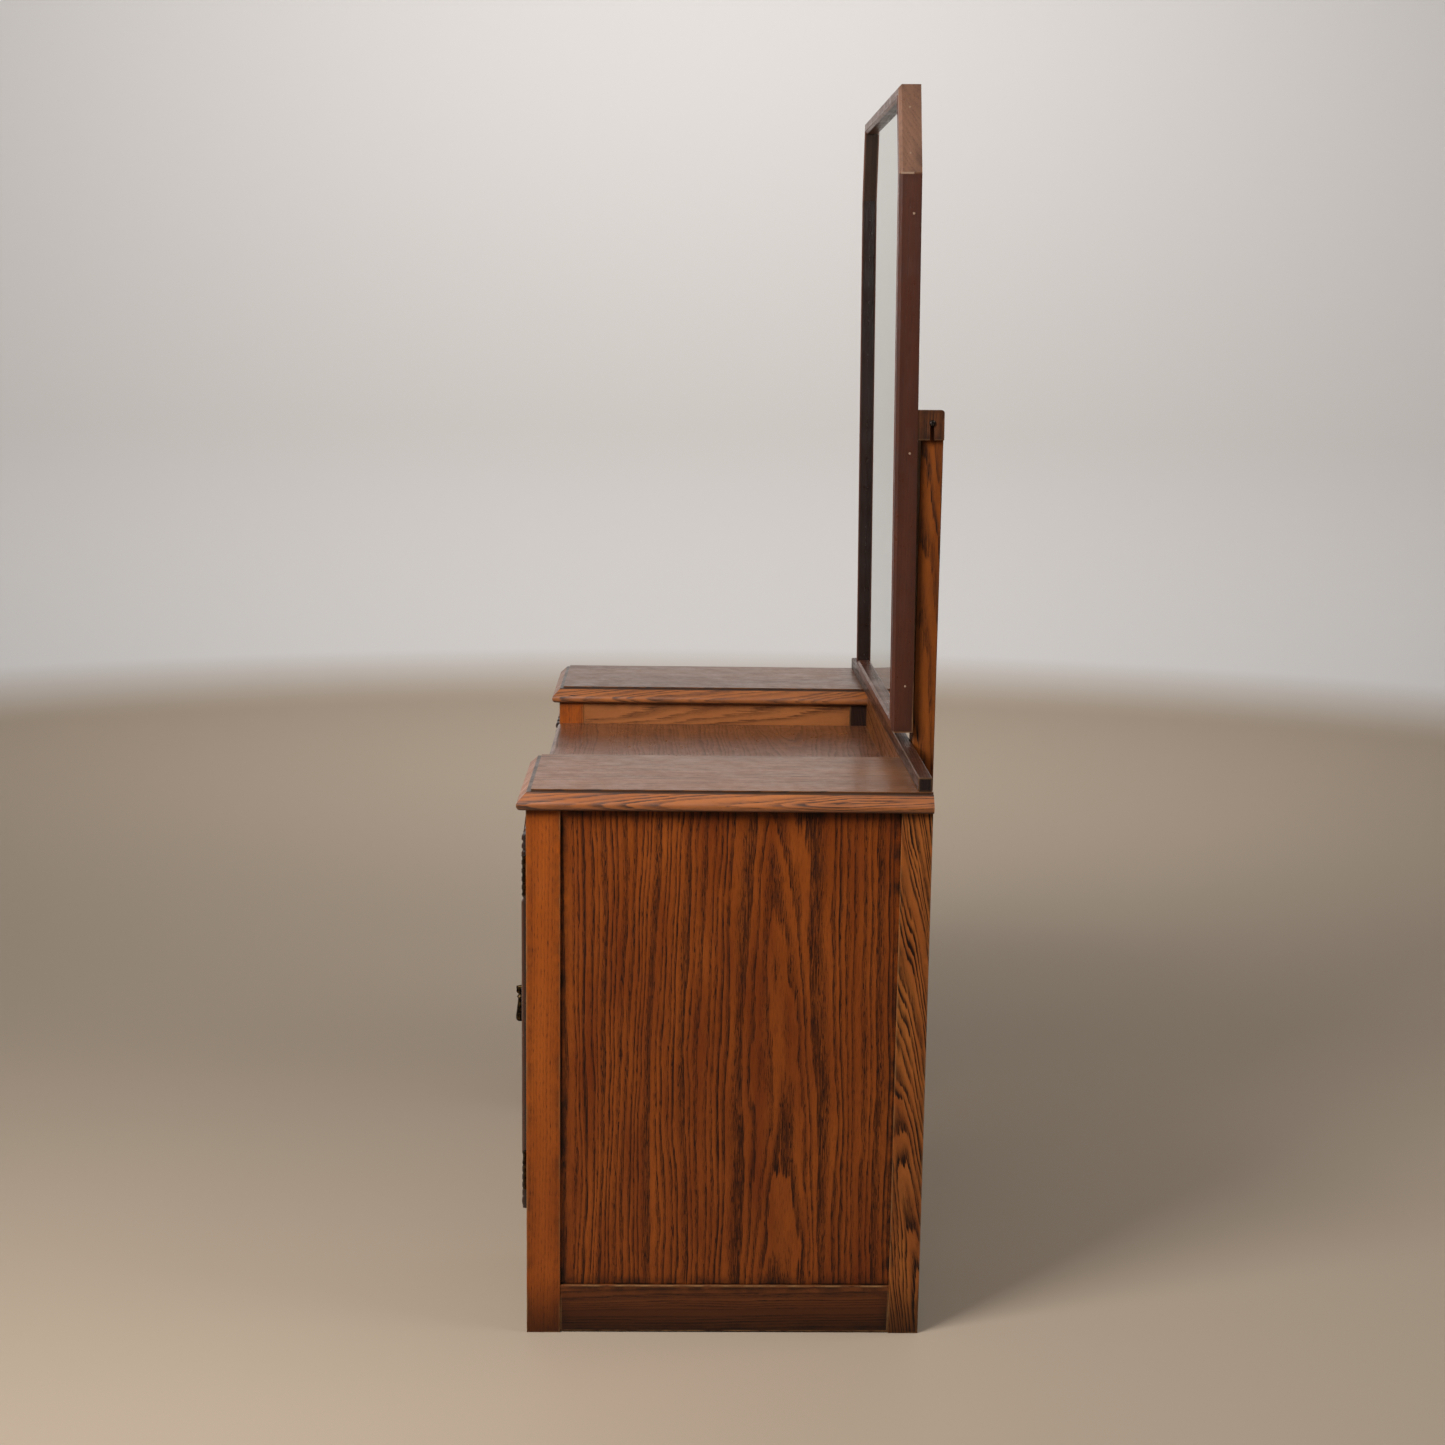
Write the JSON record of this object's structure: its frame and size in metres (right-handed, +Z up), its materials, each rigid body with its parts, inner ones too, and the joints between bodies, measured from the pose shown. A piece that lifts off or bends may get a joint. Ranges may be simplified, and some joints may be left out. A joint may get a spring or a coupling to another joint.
{
  "type": "kneehole dressing table with tilting mirror",
  "caption": "Oak kneehole dressing table with cupboard pedestals, a lower centre top over a drawer, and a tilting mirror with canted top corners.",
  "frame": {"origin": "on the floor, under the middle of the table's bounding box", "axes": "+Z up, the doors and the mirror face -Y, +X is the viewer's right"},
  "size_m": [1.054, 0.551, 1.5613],
  "materials": {
    "frame_oak": "stained and polished, medium brown",
    "panel_oak": "stained and polished veneer",
    "top_oak": "stained and waxed",
    "carved_oak": "dark stained, carved",
    "mirror_oak": "stained and polished, red-brown",
    "plain_wood": "unfinished",
    "plywood": "unfinished plywood",
    "mirror_glass": "silvered",
    "oxidised_brass": "dark oxidised",
    "hinge_brass": "aged",
    "blued_steel": "dark, worn"
  },
  "bodies": {
    "carcass": {"back_panels": "plywood", "centre_back": "frame_oak", "centre_top": "top_oak", "drawer_runners": "plain_wood", "floor_boards": "plain_wood", "gallery_rail": "frame_oak", "inner_bottom_rail_left": "frame_oak", "inner_bottom_rail_right": "frame_oak", "inner_front_leg_left": "frame_oak", "inner_front_leg_right": "frame_oak", "inner_panel_left": "panel_oak", "inner_panel_right": "panel_oak", "inner_rear_leg_left": "frame_oak", "inner_rear_leg_right": "frame_oak", "inner_top_rail_left": "frame_oak", "inner_top_rail_right": "frame_oak", "leg_hinge_leaves": "hinge_brass", "mirror_post_left": "frame_oak", "mirror_post_right": "frame_oak", "outer_bottom_rail_left": "frame_oak", "outer_bottom_rail_right": "frame_oak", "outer_front_leg_left": "frame_oak", "outer_front_leg_right": "frame_oak", "outer_panel_left": "panel_oak", "outer_panel_right": "panel_oak", "outer_rear_leg_left": "frame_oak", "outer_rear_leg_right": "frame_oak", "pedestal_top_left": "top_oak", "pedestal_top_right": "top_oak", "pivot_screws": "blued_steel", "plinth_rail_left": "frame_oak", "plinth_rail_right": "frame_oak", "shelves": "plain_wood"},
    "drawer": {"drawer_back": "plain_wood", "drawer_bottom": "plywood", "drawer_front": "frame_oak", "drawer_handle_plates": "oxidised_brass", "drawer_sides": "plain_wood"},
    "mirror": {"mirror_backboard": "plywood", "mirror_bottom_rail": "mirror_oak", "mirror_cant_left": "mirror_oak", "mirror_cant_right": "mirror_oak", "mirror_ears": "mirror_oak", "mirror_glass": "mirror_glass", "mirror_stile_left": "mirror_oak", "mirror_stile_right": "mirror_oak", "mirror_top_rail": "mirror_oak"},
    "door_right": {"carved_panel_right": "carved_oak", "door_hinge_leaves_right": "hinge_brass", "door_right": "frame_oak", "handle_plate_right": "oxidised_brass"},
    "door_left": {"carved_panel_left": "carved_oak", "door_hinge_leaves_left": "hinge_brass", "door_left": "frame_oak", "handle_plate_left": "oxidised_brass"},
    "drop_door_right": {"handle_drop_right": "oxidised_brass"},
    "drop_door_left": {"handle_drop_left": "oxidised_brass"},
    "drop_drawer_right": {"drawer_drop_right": "oxidised_brass"},
    "drop_drawer_left": {"drawer_drop_left": "oxidised_brass"}
  },
  "joints": [
    {"name": "mirror_tilt", "type": "hinge", "parent": "carcass", "child": "mirror", "pos_m": [0, 0.2592, 1.1367], "axis": [-1, 0, 0], "range_deg": [-0.1, 24]},
    {"name": "door_right_swing", "type": "hinge", "parent": "carcass", "child": "door_right", "pos_m": [0.49325, -0.2516, 0.39775], "axis": [0, 0, 1], "range_deg": [0, 100]},
    {"name": "door_left_swing", "type": "hinge", "parent": "carcass", "child": "door_left", "pos_m": [-0.49325, -0.2516, 0.39775], "axis": [0, 0, -1], "range_deg": [0, 100]},
    {"name": "drawer_slide", "type": "slide", "parent": "carcass", "child": "drawer", "axis": [0, -1, 0], "range_m": [0, 0.3]},
    {"name": "door_drop_right_swing", "type": "hinge", "parent": "door_right", "child": "drop_door_right", "pos_m": [0.3135, -0.2695, 0.38775], "axis": [-1, 0, 0], "range_deg": [0, 75]},
    {"name": "drawer_drop_right_swing", "type": "hinge", "parent": "drawer", "child": "drop_drawer_right", "pos_m": [0.15, -0.2695, 0.60575], "axis": [-1, 0, 0], "range_deg": [0, 75]},
    {"name": "door_drop_left_swing", "type": "hinge", "parent": "door_left", "child": "drop_door_left", "pos_m": [-0.3135, -0.2695, 0.38775], "axis": [-1, 0, 0], "range_deg": [0, 75]},
    {"name": "drawer_drop_left_swing", "type": "hinge", "parent": "drawer", "child": "drop_drawer_left", "pos_m": [-0.15, -0.2695, 0.60575], "axis": [-1, 0, 0], "range_deg": [0, 75]}
  ]
}
